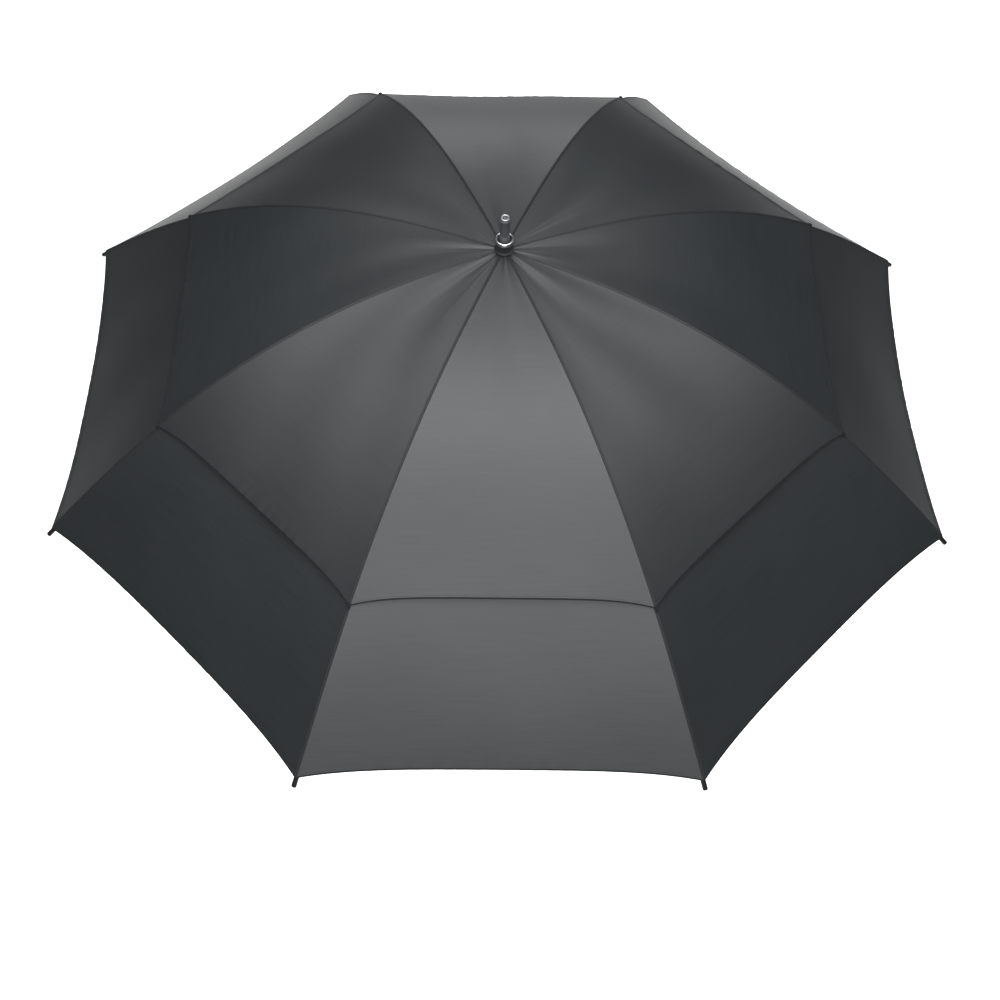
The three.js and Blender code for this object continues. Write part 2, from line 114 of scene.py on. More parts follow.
FAN_HEIGHT = 0.0004  # creases that fan out from the crown
FAN_START = 0.03
FAN_FADE = 0.070
SLACK_HEIGHT = 0.0011
PUCKER_HEIGHT = 0.00006  # puckers along a hem of the front and back panels
PUCKER_EXTRA = 0.0003  # added to that for the side panels
PUCKER_FADE = 0.011
FAN_WAVES = ((9, 0), (17, 6), (26, 0))  # waves across the panel and along it
FAN_SHARES = (0.6, 0.4, 0.25)
SLACK_WAVES = ((2.4, 9), (5.5, -16), (1.5, 31))
SLACK_SHARES = (1, 0.5, 0.25)
PUCKER_WAVES = ((330, 0), (183, 40), (470, 0))

# Hems, stitches and seams

HEM_WIDTH = 0.0085
HEM_EXTRA = 0.0007  # thickness that the turned hem adds
HEM_STEP = 0.0006  # over which the turned hem's thickness comes and goes
HEM_ROWS = (0.012, 0.0092, HEM_WIDTH, 0.0062, 0.0048, 0.0042, 0.0036, 0.0023, 0.0013, 0.0004, 0.0)
SHADE_LINE_ROWS = 3  # of those rows, how many are drawn in dark thread: painted shade along the hem's edge
STITCH_LINE = 0.0042  # distance in from the hem's edge
STITCH_DINT = 0.00045  # how far the stitches pull the hem in
EDGE_THINNING = 0.0003
STITCH_PITCH = 0.0032
STITCH_LENGTH = 0.0023
STITCH_WIDTH = 0.0005
STITCH_MARGIN = 0.004  # bare hem next to a rib
STITCH_SIDES = (
    (0, 1, 6), (1, 2, 7, 6), (2, 3, 7), (3, 4, 7), (4, 5, 6, 7), (5, 0, 6), (5, 4, 3, 2, 1, 0)
)
SEAM_HALF = 0.0018
SEAM_RISE = 0.0009
SEAM_SKIN = 0.0004
SEAM_ROW_STEP = 0.006
SEAM_ACROSS = np.array([-1, -0.92, -0.7, -0.35, -0.1, 0, 0.1, 0.35, 0.7, 0.92, 1]) * SEAM_HALF
SEAM_HEIGHTS = np.array([0, 0.55, 0.9, 1, 0.75, 0.2, 0.75, 1, 0.9, 0.55, 0]) * SEAM_RISE
SEAM_HIDDEN = 0.03  # how far the lower seam runs in under the upper hem
SEAM_MARGIN = 0.002  # bare seam at its end

# Where the middle of a panel would go as the umbrella closes, for each metre from the shaft to the open
# rib: outwards from the rib, and sideways from it

TOP_TUCK = (-0.120, 0.105)
INNER_TUCK = (-0.050, 0.058)
VENT_TUCK = (-0.040, 0.025)
LOWER_TUCK = (-0.022, 0.022)
TOP_END = 0.205  # station where the two inner tucks meet
EDGE_SAMPLES = 40  # for finding that edge

# Ferrule, grip, tips and ties

SHAFT_BORE = 0.0073  # radius of the hole for the shaft
COLLAR_FOOT = 0.0024  # height of the collar's plain foot
COLLAR_GATHERS = 30
GATHER_DEPTH = 0.016  # as a share of the radius
CUP_LIP = 0.0042  # how thick the rolled lip of the chrome cup is
RIM_HEIGHT = 0.0042  # of the bright ring that ends the ferrule
RIM_HOLE = 0.0040
SPIGOT_RADIUS = 0.0055
GRIP_RADIUS = 0.0154
GRIP_SWELL = 0.0014
GRIP_GROOVES = (0.10, 0.14, 0.84, 0.88)  # shares of the grip's length
GROOVE_DEPTH = 0.0007
GROOVE_WIDTH = 0.006  # as a share of the grip's length
GRIP_STEPS = 64
TIP_LENGTH = 0.024
TIP_RADIUS = 0.0032
TIP_BORE = 0.0021
TIP_BORE_DEPTH = 0.0122
TIE_SIZE = (0.0042, 0.0027, 0.0021)  # half its length, width and height
TIE_RINGS = 9
TIE_SIDES = 14
TIE_LUMP = 0.16
TIE_INSET = 0.001  # in from the upper hem
TIE_RAISE = 0.0006

# Edges

TURNED_EDGE = 32  # degrees between two faces from which an edge looks sharp
FRAME_EDGE = 38
WELD_DISTANCE = 1e-6
BEVEL_WIDTH = 0.00018
BEVEL_ANGLE = 40  # degrees

rng = np.random.default_rng(11)
FOLD_PHASES = rng.uniform(0, 2 * math.pi, (RIB_COUNT, 8))
FOLD_SIZES = rng.uniform(0.5, 1.0, (RIB_COUNT, 8))


# Materials: small helpers, then one function for each


class Nodes:
    """Adds linked nodes to a new material."""

    def __init__(self, name):
        self.material = bpy.data.materials.new(name)
        self.material.use_nodes = True
        self.tree = self.material.node_tree
        self.shader = self.tree.nodes["Principled BSDF"]
        self.object_place = None

    def add(self, kind, settings=None, **inputs):
        node = self.tree.nodes.new(kind)
        for key, value in (settings or {}).items():
            setattr(node, key, value)
        for key, value in inputs.items():
            self.feed(node.inputs[key.replace("_", " ")], value)
        return node

    def feed(self, socket, value):
        if isinstance(value, bpy.types.NodeSocket):
            self.tree.links.new(value, socket)
        else:
            socket.default_value = value

    def place(self):
        if self.object_place is None:
            self.object_place = self.add("ShaderNodeTexCoord").outputs["Object"]
        return self.object_place

    def noise(self, scale, detail=3.0, stretch=(1, 1, 1), place=None):
        spread = self.add("ShaderNodeMapping", Vector=place or self.place(), Scale=stretch)
        made = self.add("ShaderNodeTexNoise", Vector=spread.outputs["Vector"], Scale=scale, Detail=detail)
        return made.outputs["Fac"]

    def between(self, value, low, high, from_low=0.3, from_high=0.7):
        made = self.add("ShaderNodeMapRange", Value=value)
        made.inputs["From Min"].default_value = from_low
        made.inputs["From Max"].default_value = from_high
        made.inputs["To Min"].default_value = low
        made.inputs["To Max"].default_value = high
        return made.outputs["Result"]

    def colours(self, value, dark, light):
        made = self.add("ShaderNodeMix", {"data_type": "RGBA"})
        self.feed(made.inputs["Factor"], value)
        made.inputs["A"].default_value = (*dark, 1)
        made.inputs["B"].default_value = (*light, 1)
        middle = [(a + b) / 2 for a, b in zip(dark, light)]
        self.shader.inputs["Base Color"].default_value = (*middle, 1)
        return made.outputs["Result"]

    def sum(self, a, b):
        made = self.add("ShaderNodeMath", {"operation": "ADD"})
        self.feed(made.inputs[0], a)
        self.feed(made.inputs[1], b)
        return made.outputs["Value"]

    def times(self, a, b):
        made = self.add("ShaderNodeMath", {"operation": "MULTIPLY"})
        self.feed(made.inputs[0], a)
        self.feed(made.inputs[1], b)
        return made.outputs["Value"]

    def bump(self, height, strength, distance):
        made = self.add("ShaderNodeBump", Height=height, Strength=strength, Distance=distance)
        self.feed(self.shader.inputs["Normal"], made.outputs["Normal"])

    def set(self, **inputs):
        for key, value in inputs.items():
            self.feed(self.shader.inputs[key.replace("_", " ")], value)
        return self


def cloth_material(name, dark, light, roughness):
    """Satin pongee: fine threads both ways, slubs along the weft, and slow changes of tone."""
    m = Nodes(name)
    weave = m.add("ShaderNodeUVMap", {"uv_map": "weave"}).outputs["UV"]
    weft = m.noise(1.0, 2.0, (260, 2400, 1), weave)
    warp = m.noise(1.0, 2.0, (2400, 260, 1), weave)
    slub = m.noise(1.0, 3.0, (14, 420, 1), weave)
    tone = m.noise(5.0, 4.0)
    threads = m.times(m.sum(weft, warp), 0.5)
    shade = m.sum(m.times(threads, 0.45), m.sum(m.times(slub, 0.3), m.times(tone, 0.25)))
    m.set(Base_Color=m.colours(m.between(shade, 0, 1, 0.38, 0.62), dark, light))
    m.set(Roughness=m.between(threads, roughness - 0.05, roughness + 0.06))
    m.set(Specular_IOR_Level=0.6, Sheen_Weight=0.01, Sheen_Roughness=0.45)
    m.bump(m.sum(threads, m.times(slub, 0.5)), 0.25, 0.0004)
    return m.material


# Dark thread for stitches and ties, also laid on a hem's last rows as painted shade along its edge.
def thread_and_shade_material():
    m = Nodes("thread_and_painted_hem_shade")
    twist = m.noise(900, 2.0)
    m.set(Base_Color=m.colours(twist, (0.005, 0.006, 0.007), (0.014, 0.016, 0.018)), Roughness=0.75)
    m.set(Specular_IOR_Level=0.18, Sheen_Weight=0.05)
    m.bump(twist, 0.4, 0.0002)
    return m.material


def plastic_material(name, dark, light, roughness, grain=1500):
    """Moulded plastic: a fine grain, slow changes of gloss and paler rubbed places."""
    m = Nodes(name)
    fine = m.noise(grain, 2.0)
    slow = m.noise(38, 4.0)
    m.set(Base_Color=m.colours(m.between(slow, 0, 1), dark, light))
    m.set(Roughness=m.between(slow, roughness - 0.07, roughness + 0.09), Specular_IOR_Level=0.25)
    m.bump(fine, 0.22, 0.0003)
    return m.material


def metal_material(name, dark, light, roughness, stretch=(1, 1, 0.05), scale=900, strength=0.08):
    """Drawn or turned metal: fine lines along one way and a little tarnish."""
    m = Nodes(name)
    lines = m.noise(scale, 2.0, stretch)
    stain = m.noise(60, 4.0)
    m.set(Base_Color=m.colours(m.between(stain, 0, 1), dark, light), Metallic=1.0)
    m.set(Roughness=m.between(m.times(m.sum(lines, stain), 0.5), roughness - 0.05, roughness + 0.07))
    m.bump(lines, strength, 0.0002)
    return m.material


def painted_material(name, dark, light, roughness):
    """Satin paint over metal, with an orange-peel surface and a clear top coat."""
    m = Nodes(name)
    peel = m.noise(420, 2.0)
    slow = m.noise(45, 3.0)
    m.set(Base_Color=m.colours(m.between(slow, 0, 1), dark, light), Metallic=0.55)
    m.set(Roughness=m.between(slow, roughness - 0.05, roughness + 0.08))
    m.set(Coat_Weight=0.35, Coat_Roughness=0.18)
    m.bump(peel, 0.12, 0.0003)
    return m.material


def fibreglass_material():
    """Black fibreglass rod: faint strands along it under a satin skin."""
    m = Nodes("fibreglass_rod")
    strands = m.noise(260, 4.0, (1, 1, 3))
    m.set(Base_Color=m.colours(m.between(strands, 0, 1), (0.007, 0.007, 0.008), (0.022, 0.022, 0.025)))
    m.set(Roughness=m.between(strands, 0.26, 0.42), Coat_Weight=0.3, Coat_Roughness=0.15)
    m.bump(strands, 0.15, 0.0003)
    return m.material


def foam_material():
    """EVA foam: small open cells, dull, a little paler where a hand rubs it."""
    m = Nodes("foam_grip_skin")
    cells = m.add("ShaderNodeTexVoronoi", Vector=m.place(), Scale=900).outputs["Distance"]
    rub = m.noise(26, 3.0)
    m.set(Base_Color=m.colours(m.between(rub, 0, 1), (0.011, 0.011, 0.012), (0.030, 0.030, 0.032)))
    m.set(Roughness=m.between(rub, 0.82, 0.95), Specular_IOR_Level=0.3, Sheen_Weight=0.15)
    m.bump(m.sum(cells, m.noise(3000, 2.0)), 0.5, 0.0005)
    return m.material


def floor_material():
    m = Nodes("pale_floor")
    m.set(Base_Color=m.colours(m.noise(1.2, 2.0), (0.90, 0.90, 0.90), (0.93, 0.93, 0.93)), Roughness=0.85)
    m.set(Specular_IOR_Level=0.1)
    return m.material


PONGEE = cloth_material("charcoal_pongee", (0.0095, 0.0118, 0.0128), (0.0185, 0.0215, 0.0230), 0.47)
SEAM_CLOTH = cloth_material("seam_pongee", (0.007, 0.0085, 0.0095), (0.015, 0.0175, 0.019), 0.52)
THREAD_AND_SHADE_LINE = thread_and_shade_material()
PLASTIC = plastic_material("moulded_black", (0.0032, 0.0032, 0.0036), (0.009, 0.009, 0.010), 0.50)
COLLAR_SKIN = plastic_material("collar_grey", (0.026, 0.027, 0.029), (0.052, 0.054, 0.058), 0.46)
SATIN_METAL = painted_material("satin_gunmetal", (0.115, 0.120, 0.128), (0.175, 0.182, 0.192), 0.36)
CHROME = metal_material("polished_chrome", (0.72, 0.73, 0.75), (0.86, 0.87, 0.88), 0.2, strength=0.02)
BRIGHT_RIM = metal_material("turned_rim", (0.62, 0.63, 0.65), (0.80, 0.81, 0.82), 0.24)
BLACK_STEEL = painted_material("black_steel", (0.010, 0.010, 0.011), (0.024, 0.024, 0.026), 0.36)
SPRING_STEEL = metal_material("drawn_steel", (0.34, 0.34, 0.35), (0.52, 0.52, 0.53), 0.30)
FIBREGLASS = fibreglass_material()
FOAM = foam_material()


# The rib's line

TABLE_STEP = 0.0005
table_stations = np.arange(-0.02, RIB_LENGTH + 0.01, TABLE_STEP)


def slope_at(station):
    t = np.clip(np.asarray(station) / RIB_LENGTH, 0, None) ** DROOP_SHIFT
    return TIP_DROOP * (3 * t**2 - 2 * t**3)


def rib_table():
    middles = slope_at(table_stations[:-1] + TABLE_STEP / 2)
    outwards = np.concatenate([[0], np.cumsum(np.cos(middles) * TABLE_STEP)])
    down = np.concatenate([[0], np.cumsum(np.sin(middles) * TABLE_STEP)])
    return outwards - np.interp(0, table_stations, outwards) + PIVOT_RADIUS, NOTCH_Z - down


table_out, table_up = rib_table()


def rib_line(station):
    """Distance from the shaft's axis, height and slope of the rib at a station."""
    out = np.interp(station, table_stations, table_out)
    return out, np.interp(station, table_stations, table_up), slope_at(station)


def turn_of(rib):
    """Angle about Z of a rib, counted from the one just right of the front."""
    return -math.pi / 2 + HALF_PANEL * (2 * rib + 1)


def spin(rib):
    c, s = math.cos(turn_of(rib)), math.sin(turn_of(rib))
    return np.array([[c, -s, 0], [s, c, 0], [0, 0, 1]])


def unit(vectors):
    return vectors / np.maximum(np.linalg.norm(vectors, axis=-1, keepdims=True), 1e-12)


# The cloth's surface, in a rib's own frame: outwards, aside and up. reach is 0 at the rib and 1 in the
# middle of the panel; hand is 1 for the panel counter-clockwise of the rib and -1 for the other.


def upper_lift(station):
    t = np.clip(station / CROWN_FADE, 0, 1)
    return CROWN_LIFT + (UPPER_LIFT - CROWN_LIFT) * t**2 * (3 - 2 * t)


def lower_lift(station):
    return np.full_like(station, LOWER_LIFT)


def billow(lift, station):
    """How much the middle of a panel stands out near the upper hem, and is drawn in towards the lower."""
    if lift is upper_lift:
        share = (station - BILLOW_START) / (VENT_STATION - BILLOW_START)
        return VENT_BILLOW * np.clip(share, 0, None) ** 2
    share = (station - UNDER_STATION) / (HEM_STATION - UNDER_STATION)
    return -LOWER_DROP * np.clip(share, 0, None)


def hem_curve(station, depth, reach):
    return station - depth * (1 - (1 - reach) ** SCALLOP_POWER)


def waves(across, along, counts, phases, sizes):
    total = np.zeros_like(along)
    for count, phase, size in zip(counts, phases, sizes):
        total += size * np.sin(count[0] * across + count[1] * along + phase)
    return total


def folds(panel, across, station, hem):
    """Small folds in the cloth: creases that fan out from the crown, slack, and puckers along a hem."""
    phases, sizes = FOLD_PHASES[panel], FOLD_SIZES[panel]
    window = 1 - across**2
    sideways = 0.5 - 0.5 * math.cos(4 * panel * HALF_PANEL)  # 0 for the front and back panels
    fan = waves(across, station, FAN_WAVES, phases[:3], sizes[:3] * FAN_SHARES)
    start = np.clip(station / FAN_START, 0, 1)
    crown = FAN_HEIGHT * np.exp(-np.clip(station, 0, None) / FAN_FADE) * start
    slack = waves(across, station, SLACK_WAVES, phases[3:6], sizes[3:6] * SLACK_SHARES)
    relief = window * (fan * crown + SLACK_HEIGHT * slack)
    if hem is not None:
        aside = across * np.interp(hem, table_stations, table_out) * math.sin(HALF_PANEL)
        gather = waves(aside, station, PUCKER_WAVES, phases[5:8], sizes[5:8])
        fade = np.exp(-np.clip(hem - station, 0, None) / PUCKER_FADE)
        relief = relief + (PUCKER_HEIGHT + PUCKER_EXTRA * sideways) * window * gather * fade
    return relief


def cloth_points(rib, hand, reach, station, lift, hem=None):
    reach = np.clip(reach, 0, 1)
    panel = rib if hand > 0 else (rib - 1) % RIB_COUNT
    out, up, slope = rib_line(station)
    rise = lift(station) + (billow(lift, station) - PANEL_SAG * out) * (1 - (1 - reach) ** 2)
    rise = rise + folds(panel, -hand * (1 - reach), station, hem)
    turn = HALF_PANEL * reach
    x = out * (1 - reach * math.sin(HALF_PANEL) ** 2) + np.sin(slope) * np.cos(turn) * rise
    y = out * reach * math.sin(HALF_PANEL) * math.cos(HALF_PANEL) + np.sin(slope) * np.sin(turn) * rise
    return np.stack([x, hand * y, up + np.cos(slope) * rise], axis=-1)


def cloth_normals(rib, hand, reach, station, lift, hem=None):
    nearer = np.clip(reach - NORMAL_STEP, 0, 1)
    farther = np.clip(reach + NORMAL_STEP, 0, 1)
    aside = cloth_points(rib, hand, farther, station, lift, hem)
    aside = aside - cloth_points(rib, hand, nearer, station, lift, hem)
    ahead = cloth_points(rib, hand, reach, station + NORMAL_STEP, lift, hem)
    behind = cloth_points(rib, hand, reach, station - NORMAL_STEP, lift, hem)
    return unit(np.cross(ahead - behind, aside) * hand)


# Mesh building


def new_object(name, points, faces, *materials):
    mesh = bpy.data.meshes.new(name)
    mesh.from_pydata(np.asarray(points).tolist(), [], faces)
    for material in materials:
        mesh.materials.append(material)
    mesh.polygons.foreach_set("use_smooth", [True] * len(mesh.polygons))
    piece = bpy.data.objects.new(name, mesh)
    bpy.context.scene.collection.objects.link(piece)
    return piece


class Shell:
    """A thin closed sheet and its stitches: points, faces, corner normals and places in the weave."""

    def __init__(self, rib, hand=1, cloth=PONGEE):
        self.rib = rib
        self.hand = hand
        self.cloth = cloth
        self.points = []
        self.weave = []
        self.faces = []
        self.normals = []
        self.thread_or_shade = []

    def put(self, points, weave, faces, normals, thread_or_shade):
        """normals is one for each point, or None for flat faces."""
        base = len(self.points)
        self.points.extend(points)
        self.weave.extend(weave)
        for face in faces:
            self.face(base, face, normals, thread_or_shade)

    def face(self, base, corners, normals, thread_or_shade):
        corners = corners if self.hand > 0 else corners[::-1]
        self.faces.append(tuple(base + i for i in corners))
        if normals is None:
            a, b, c = (self.points[base + i] for i in corners[:3])
            self.normals.extend([unit(np.cross(b - a, c - b))] * len(corners))
        else:
            self.normals.extend(normals[i] for i in corners)
        self.thread_or_shade.append(thread_or_shade)

    def sheet(self, grid, normals, weave, thickness, shade_rows=0):
        """Its last argument is how many of the last rows are drawn in dark thread: painted shade along a hem's
        edge.
        """
        rows, columns = grid.shape[:2]
        over = (grid + normals * thickness[..., None] / 2).reshape(-1, 3)
        under = (grid - normals * thickness[..., None] / 2).reshape(-1, 3)
        flat, places = normals.reshape(-1, 3), weave.reshape(-1, 2)
        quads = []
        for row in range(rows - 1):
            for column in range(columns - 1):
                a = row * columns + column
                quads.append((a, a + columns, a + columns + 1, a + 1))
        self.put(over, places, quads, flat, 0)
        self.put(under, places, [quad[::-1] for quad in quads], -flat, 0)
        # the last rows take the thread material: painted shade along the hem's edge
        for row in range(rows - 1 - shade_rows, rows - 1):
            for column in range(columns - 1):
                self.thread_or_shade[row * (columns - 1) + column] = 1
        base = len(self.points) - 2 * rows * columns
        top = list(range(columns))
        right = [row * columns + columns - 1 for row in range(1, rows)]
        bottom = [(rows - 1) * columns + column for column in range(columns - 2, -1, -1)]
        left = [row * columns for row in range(rows - 2, 0, -1)]
        loop = top + right + bottom + left
        for a, b in zip(loop, loop[1:] + loop[:1]):
            self.face(base, (a, b, b + rows * columns, a + rows * columns), None, 0)

    def stitches(self, points, normals):
        """A raised stitch between each even point of a line and the next."""
        for i in range(0, len(points) - 1, 2):
            a, b, n = points[i], points[i + 1], normals[i]
            aside = unit(np.cross(n, b - a)) * STITCH_WIDTH / 2
            high = n * STITCH_WIDTH * 0.6  # the thread stands out, and is sunk in a little
            low = -n * STITCH_WIDTH * 0.2
            inset = (b - a) * 0.22  # a stitch tapers towards both ends
            ring = [a, a + inset - aside, b - inset - aside, b, b - inset + aside, a + inset + aside]
            shape = [p + low for p in ring] + [a + inset + high, b - inset + high]
            sides = STITCH_SIDES if self.hand > 0 else [side[::-1] for side in STITCH_SIDES]
            self.put(shape, [(0, 0)] * len(shape), sides, None, 1)

    def make(self, name):
        points = np.array(self.points) @ spin(self.rib).T
        piece = new_object(name, points, self.faces, self.cloth, THREAD_AND_SHADE_LINE)
        mesh = piece.data
        mesh.polygons.foreach_set("material_index", self.thread_or_shade)
        mesh.normals_split_custom_set((np.array(self.normals) @ spin(self.rib).T).tolist())
        corners = np.zeros(len(mesh.loops), np.int32)
        mesh.loops.foreach_get("vertex_index", corners)
        layer = mesh.uv_layers.new(name="weave")
        layer.data.foreach_set("uv", np.array(self.weave, np.float32)[corners].ravel())
        return piece


def rows_between(start, edge, hemmed):
    """Stations for each row of a leaf. edge is the station of its outer edge, for each column."""
    stop = HEM_ROWS[0] if hemmed else 0.0
    count = max(2, round((edge[0] - start) / ROW_STEP))
    rows = [start + i / count * (edge - stop - start) for i in range(count + 1)]
    if hemmed:
        rows += [edge - away for away in HEM_ROWS[1:]]
    return np.stack(rows)


def hem_thickness(away):
    """Thickness of the cloth this far in from a hem, with the dint of the stitching in it."""
    turned_part = np.clip((HEM_WIDTH + HEM_STEP - away) / HEM_STEP, 0, 1)
    dint = STITCH_DINT * np.exp(-(((away - STITCH_LINE) / HEM_STEP) ** 2))
    edge = np.clip(1 - away / HEM_STEP, 0, 1) * EDGE_THINNING
    return np.where(away < HEM_WIDTH + HEM_STEP, CLOTH + HEM_EXTRA * turned_part - dint - edge, CLOTH)


def leaf(name, rib, hand, start, end, scallop, lift):
    """Half a panel's width of cloth, between two stations. One with a scallop ends in a hem."""
    hemmed = scallop > 0
    reach = np.linspace(0, 1, COLUMNS + 1)
    edge = hem_curve(end, scallop, reach)
    station = rows_between(start, edge, hemmed)
    across = np.broadcast_to(reach, station.shape)
    hem = hem_curve(VENT_STATION, VENT_SCALLOP, reach) if lift is upper_lift else edge
    hem = np.broadcast_to(hem, station.shape)
    points = cloth_points(rib, hand, across, station, lift, hem)
    normals = cloth_normals(rib, hand, across, station, lift, hem)
    away = edge - station if hemmed else np.ones_like(station)
    out = rib_line(station)[0]
    weave = np.stack([hand * (1 - across) * out * math.sin(HALF_PANEL), station], axis=-1)
    shell = Shell(rib, hand)
    # a hem's last rows are drawn in dark thread: painted shade along its edge
    shell.sheet(points, normals, weave, hem_thickness(away), SHADE_LINE_ROWS if hemmed else 0)
    if hemmed:
        stitch_hem(shell, end, scallop, lift)
    return shell.make(name)


def stitch_hem(shell, end, scallop, lift):
    width = panel_width(end)
    count = int((width - STITCH_MARGIN - SEAM_MARGIN) / STITCH_PITCH)
    begins = (STITCH_MARGIN + STITCH_PITCH * np.arange(count)) / width
    reach = np.stack([begins, begins + STITCH_LENGTH / width], axis=-1).ravel()
    edge = hem_curve(end, scallop, reach)
    points = cloth_points(shell.rib, shell.hand, reach, edge - STITCH_LINE, lift, edge)
    normals = cloth_normals(shell.rib, shell.hand, reach, edge - STITCH_LINE, lift, edge)
    shell.stitches(points + normals * (CLOTH + HEM_EXTRA - STITCH_DINT) / 2, normals)


def panel_width(station):
    return float(rib_line(np.array([station]))[0][0] * math.sin(HALF_PANEL))


def fold_away(piece, rib, hand, start, end, lift):
    """Gives a leaf its own copy of its mesh. It works out the cloth's line along the rib between the two
    stations, but nothing uses it, so the leaf is not flattened as the runner comes down."""
    station = np.linspace(start, end, EDGE_SAMPLES)
    edge = cloth_points(rib, hand, np.zeros_like(station), station, lift)
    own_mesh(piece)


# Canopy


def crown(rib):
    """The cloth round the top, from under the collar, left fixed in place: nothing bends it over the notch."""
    shell = Shell(rib)
    half = np.linspace(0, 1, COLUMNS // 2 + 1)
    reach = np.concatenate([-half[::-1], half[1:]])
    station = np.linspace(CROWN_EDGE, CROWN_JOIN, CROWN_ROWS)[:, None] * np.ones(len(reach))
    grid, facing = np.zeros((*station.shape, 3)), np.zeros((*station.shape, 3))
    for hand in (-1, 1):
        side = reach * hand >= 0
        part = station[:, side]
        across = np.broadcast_to(np.abs(reach[side]), part.shape)
        line = hem_curve(VENT_STATION, VENT_SCALLOP, across)
        grid[:, side] = cloth_points(rib, hand, across, part, upper_lift, line)
        facing[:, side] = cloth_normals(rib, hand, across, part, upper_lift, line)
    weave = np.stack([np.broadcast_to(reach, station.shape) * CROWN_WEAVE, station], axis=-1)
    shell.sheet(grid, facing, weave, np.full(station.shape, CLOTH))
    piece = shell.make(f"crown_cloth_{rib + 1}")
    seam = seam_strip(f"seam_crown_{rib + 1}", rib, CROWN_SEAM_START, CROWN_JOIN, upper_lift)
    for part in (piece, seam):
        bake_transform(part)
    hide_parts(f"upper_canopy_{rib + 1}")


def canopy_leaves(rib):
    """The cloth either side of a rib, in four lengths. Each leaf hangs on its arm with its own mesh."""
    inner_seam, vent_seam, lower_seam = rib_seams(rib)
    tie = hem_tie(rib)
    top = ("top", CROWN_JOIN, TOP_END, 0, TOP_TUCK, [])
    inner = ("inner", TOP_END, FLEX_STATION, 0, INNER_TUCK, [inner_seam])
    vent = ("vent", FLEX_STATION, VENT_STATION, VENT_SCALLOP, VENT_TUCK, [vent_seam, tie])
    lower = ("lower", UNDER_STATION, HEM_STATION, HEM_SCALLOP, LOWER_TUCK, [lower_seam])
    for length in (top, inner):
        pair_of_leaves(rib, "upper", "inner", upper_lift, INNER_TURN, *length)
    pair_of_leaves(rib, "upper", "outer", upper_lift, OUTER_TURN, *vent)
    pair_of_leaves(rib, "lower", "outer", lower_lift, OUTER_TURN, *lower)


def pair_of_leaves(rib, canopy, arm, lift, closed_turn, length, start, end, scallop, tuck, sewn_on):
    number = rib + 1
    for hand, side in ((1, "left"), (-1, "right")):
        piece = leaf(f"{length}_leaf_{side}_{number}", rib, hand, start, end, scallop, lift)
        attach(piece, f"{arm}_arm_{number}")
        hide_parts(f"{canopy}_canopy_{number}")
        fold_away(piece, rib, hand, start, end, lift)


def seam_places(rib, across, rows, height, lift):
    """Points at a height over the cloth, and the way out of it, in rows along a rib."""
    points = np.zeros((len(rows), len(across), 3))
    facing = np.zeros_like(points)
    for hand in (-1, 1):
        side = across * hand >= 0
        line = rows[:, None] * np.ones(side.sum())
        reach = np.abs(across[side]) / (rib_line(line)[0] * math.sin(HALF_PANEL))
        points[:, side] = cloth_points(rib, hand, reach, line, lift)
        facing[:, side] = cloth_normals(rib, hand, reach, line, lift)
    middle = across == 0
    facing[:, middle] = unit(facing[:, middle] * (1, 0, 1))
    return points + facing * (CLOTH / 2 + height)[..., None], facing


def seam_strip(name, rib, start, end, lift):
    """The sewn seam over a rib: two low welts with the join sunk between them, and a row of stitches
    along each."""
    station = np.linspace(start, end, round((end - start) / SEAM_ROW_STEP) + 1)
    points, facing = seam_places(rib, SEAM_ACROSS, station, SEAM_HEIGHTS, lift)
    slant = np.gradient(SEAM_HEIGHTS, SEAM_ACROSS)[None, :, None] * np.array([0, -1, 0])
    normals = unit(facing + slant)
    along = station[:, None] * np.ones(len(SEAM_ACROSS))
    weave = np.stack([np.broadcast_to(SEAM_ACROSS, along.shape), along], axis=-1)
    shell = Shell(rib, cloth=SEAM_CLOTH)
    shell.sheet(points - normals * SEAM_SKIN / 2, normals, weave, np.full(along.shape, SEAM_SKIN))
    count = int((end - start - 2 * SEAM_MARGIN) / STITCH_PITCH)
    begins = start + SEAM_MARGIN + STITCH_PITCH * np.arange(count)
    rows = np.stack([begins, begins + STITCH_LENGTH], axis=-1).ravel()
    for welt in (-0.5 * SEAM_HALF, 0.5 * SEAM_HALF):
        line, facing = seam_places(rib, np.array([welt]), rows, np.array([SEAM_RISE]), lift)
        shell.stitches(line[:, 0], facing[:, 0])
    piece = shell.make(name)
    return piece


def rib_seams(rib):
    """The seams over the inner, vent and lower lengths of a rib."""
    number = rib + 1
    inner = seam_strip(f"seam_inner_{number}", rib, CROWN_JOIN, FLEX_STATION, upper_lift)
    vent = seam_strip(f"seam_vent_{number}", rib, FLEX_STATION, VENT_STATION, upper_lift)
    lower_start, lower_end = VENT_STATION - SEAM_HIDDEN, HEM_STATION - SEAM_MARGIN
    lower = seam_strip(f"seam_lower_{number}", rib, lower_start, lower_end, lower_lift)
    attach(inner, f"inner_arm_{number}")
    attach(vent, f"outer_arm_{number}")
    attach(lower, f"outer_arm_{number}")
    return inner, vent, lower


# Turned pieces


